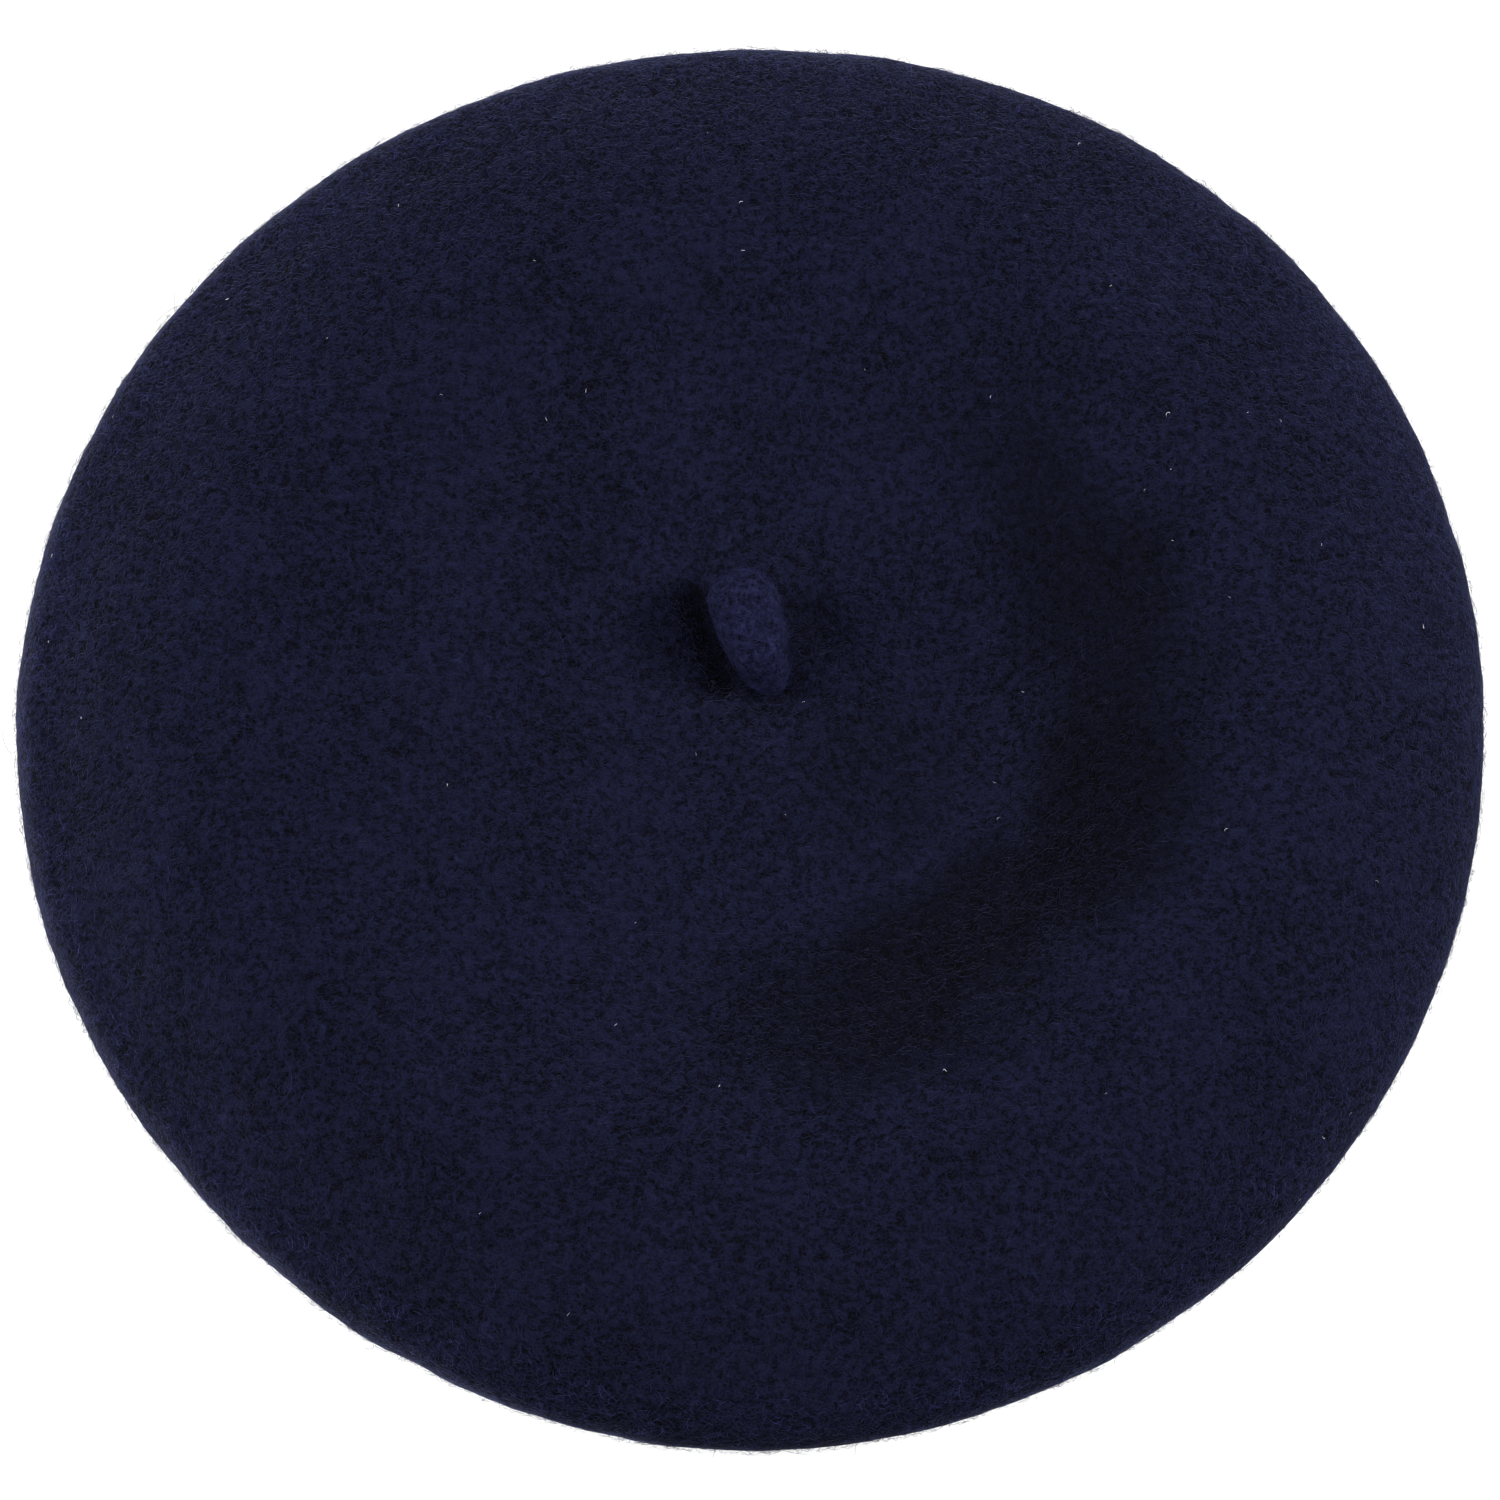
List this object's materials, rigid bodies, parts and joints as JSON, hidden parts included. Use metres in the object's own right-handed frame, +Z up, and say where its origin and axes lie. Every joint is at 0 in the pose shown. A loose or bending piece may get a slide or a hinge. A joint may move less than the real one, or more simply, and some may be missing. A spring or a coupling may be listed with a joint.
{
  "type": "beret",
  "caption": "Round navy wool-felt beret with a short felt stalk on its sagging crown, a leather sweatband with an elastic channel, a ribbon bow and blank labels inside.",
  "frame": {"origin": "centre of the beret's circle, at the level of the surface that it lies on", "axes": "+Z up through the crown, -Y towards the front, +Y towards the back where the sweatband joins, +X towards the right"},
  "size_m": [0.28, 0.28, 0.0412],
  "materials": {
    "felt": "matt fulled wool felt, navy, fuzzy",
    "felt_thread": "navy wool thread",
    "sweatband_leather": "smooth dark leather, satin",
    "elastic": "woven flat elastic",
    "sewing_thread": "twisted polyester thread, slight sheen",
    "bow_ribbon": "grosgrain ribbon, soft sheen",
    "woven_label": "blank woven satin tape"
  },
  "bodies": {
    "hat": {"felt_body": "felt", "stalk_thread": "felt_thread", "sweatband": "sweatband_leather", "elastic_band": "elastic", "hem_stitches": "sewing_thread", "channel_stitches": "sewing_thread", "band_join_stitches": "sewing_thread", "label_stitches": "sewing_thread", "bow_loops": "bow_ribbon", "bow_knot": "bow_ribbon", "bow_tails": "bow_ribbon", "maker_label": "woven_label"},
    "stalk": {"stalk": "felt"},
    "care_label": {"care_label": "woven_label"}
  },
  "joints": [
    {"name": "stalk_tilt", "type": "hinge", "parent": "hat", "child": "stalk", "pos_m": [0.0039, 0.005, 0.0283], "axis": [0.9397, 0.342, 0], "range_deg": [0, 136], "stiffness_Nm_per_rad": 0.002},
    {"name": "care_label_fold", "type": "hinge", "parent": "hat", "child": "care_label", "pos_m": [-0.07156, 0.03805, 0.003], "axis": [0.4695, 0.8829, 0], "range_deg": [0, 90], "stiffness_Nm_per_rad": 0.00015}
  ]
}
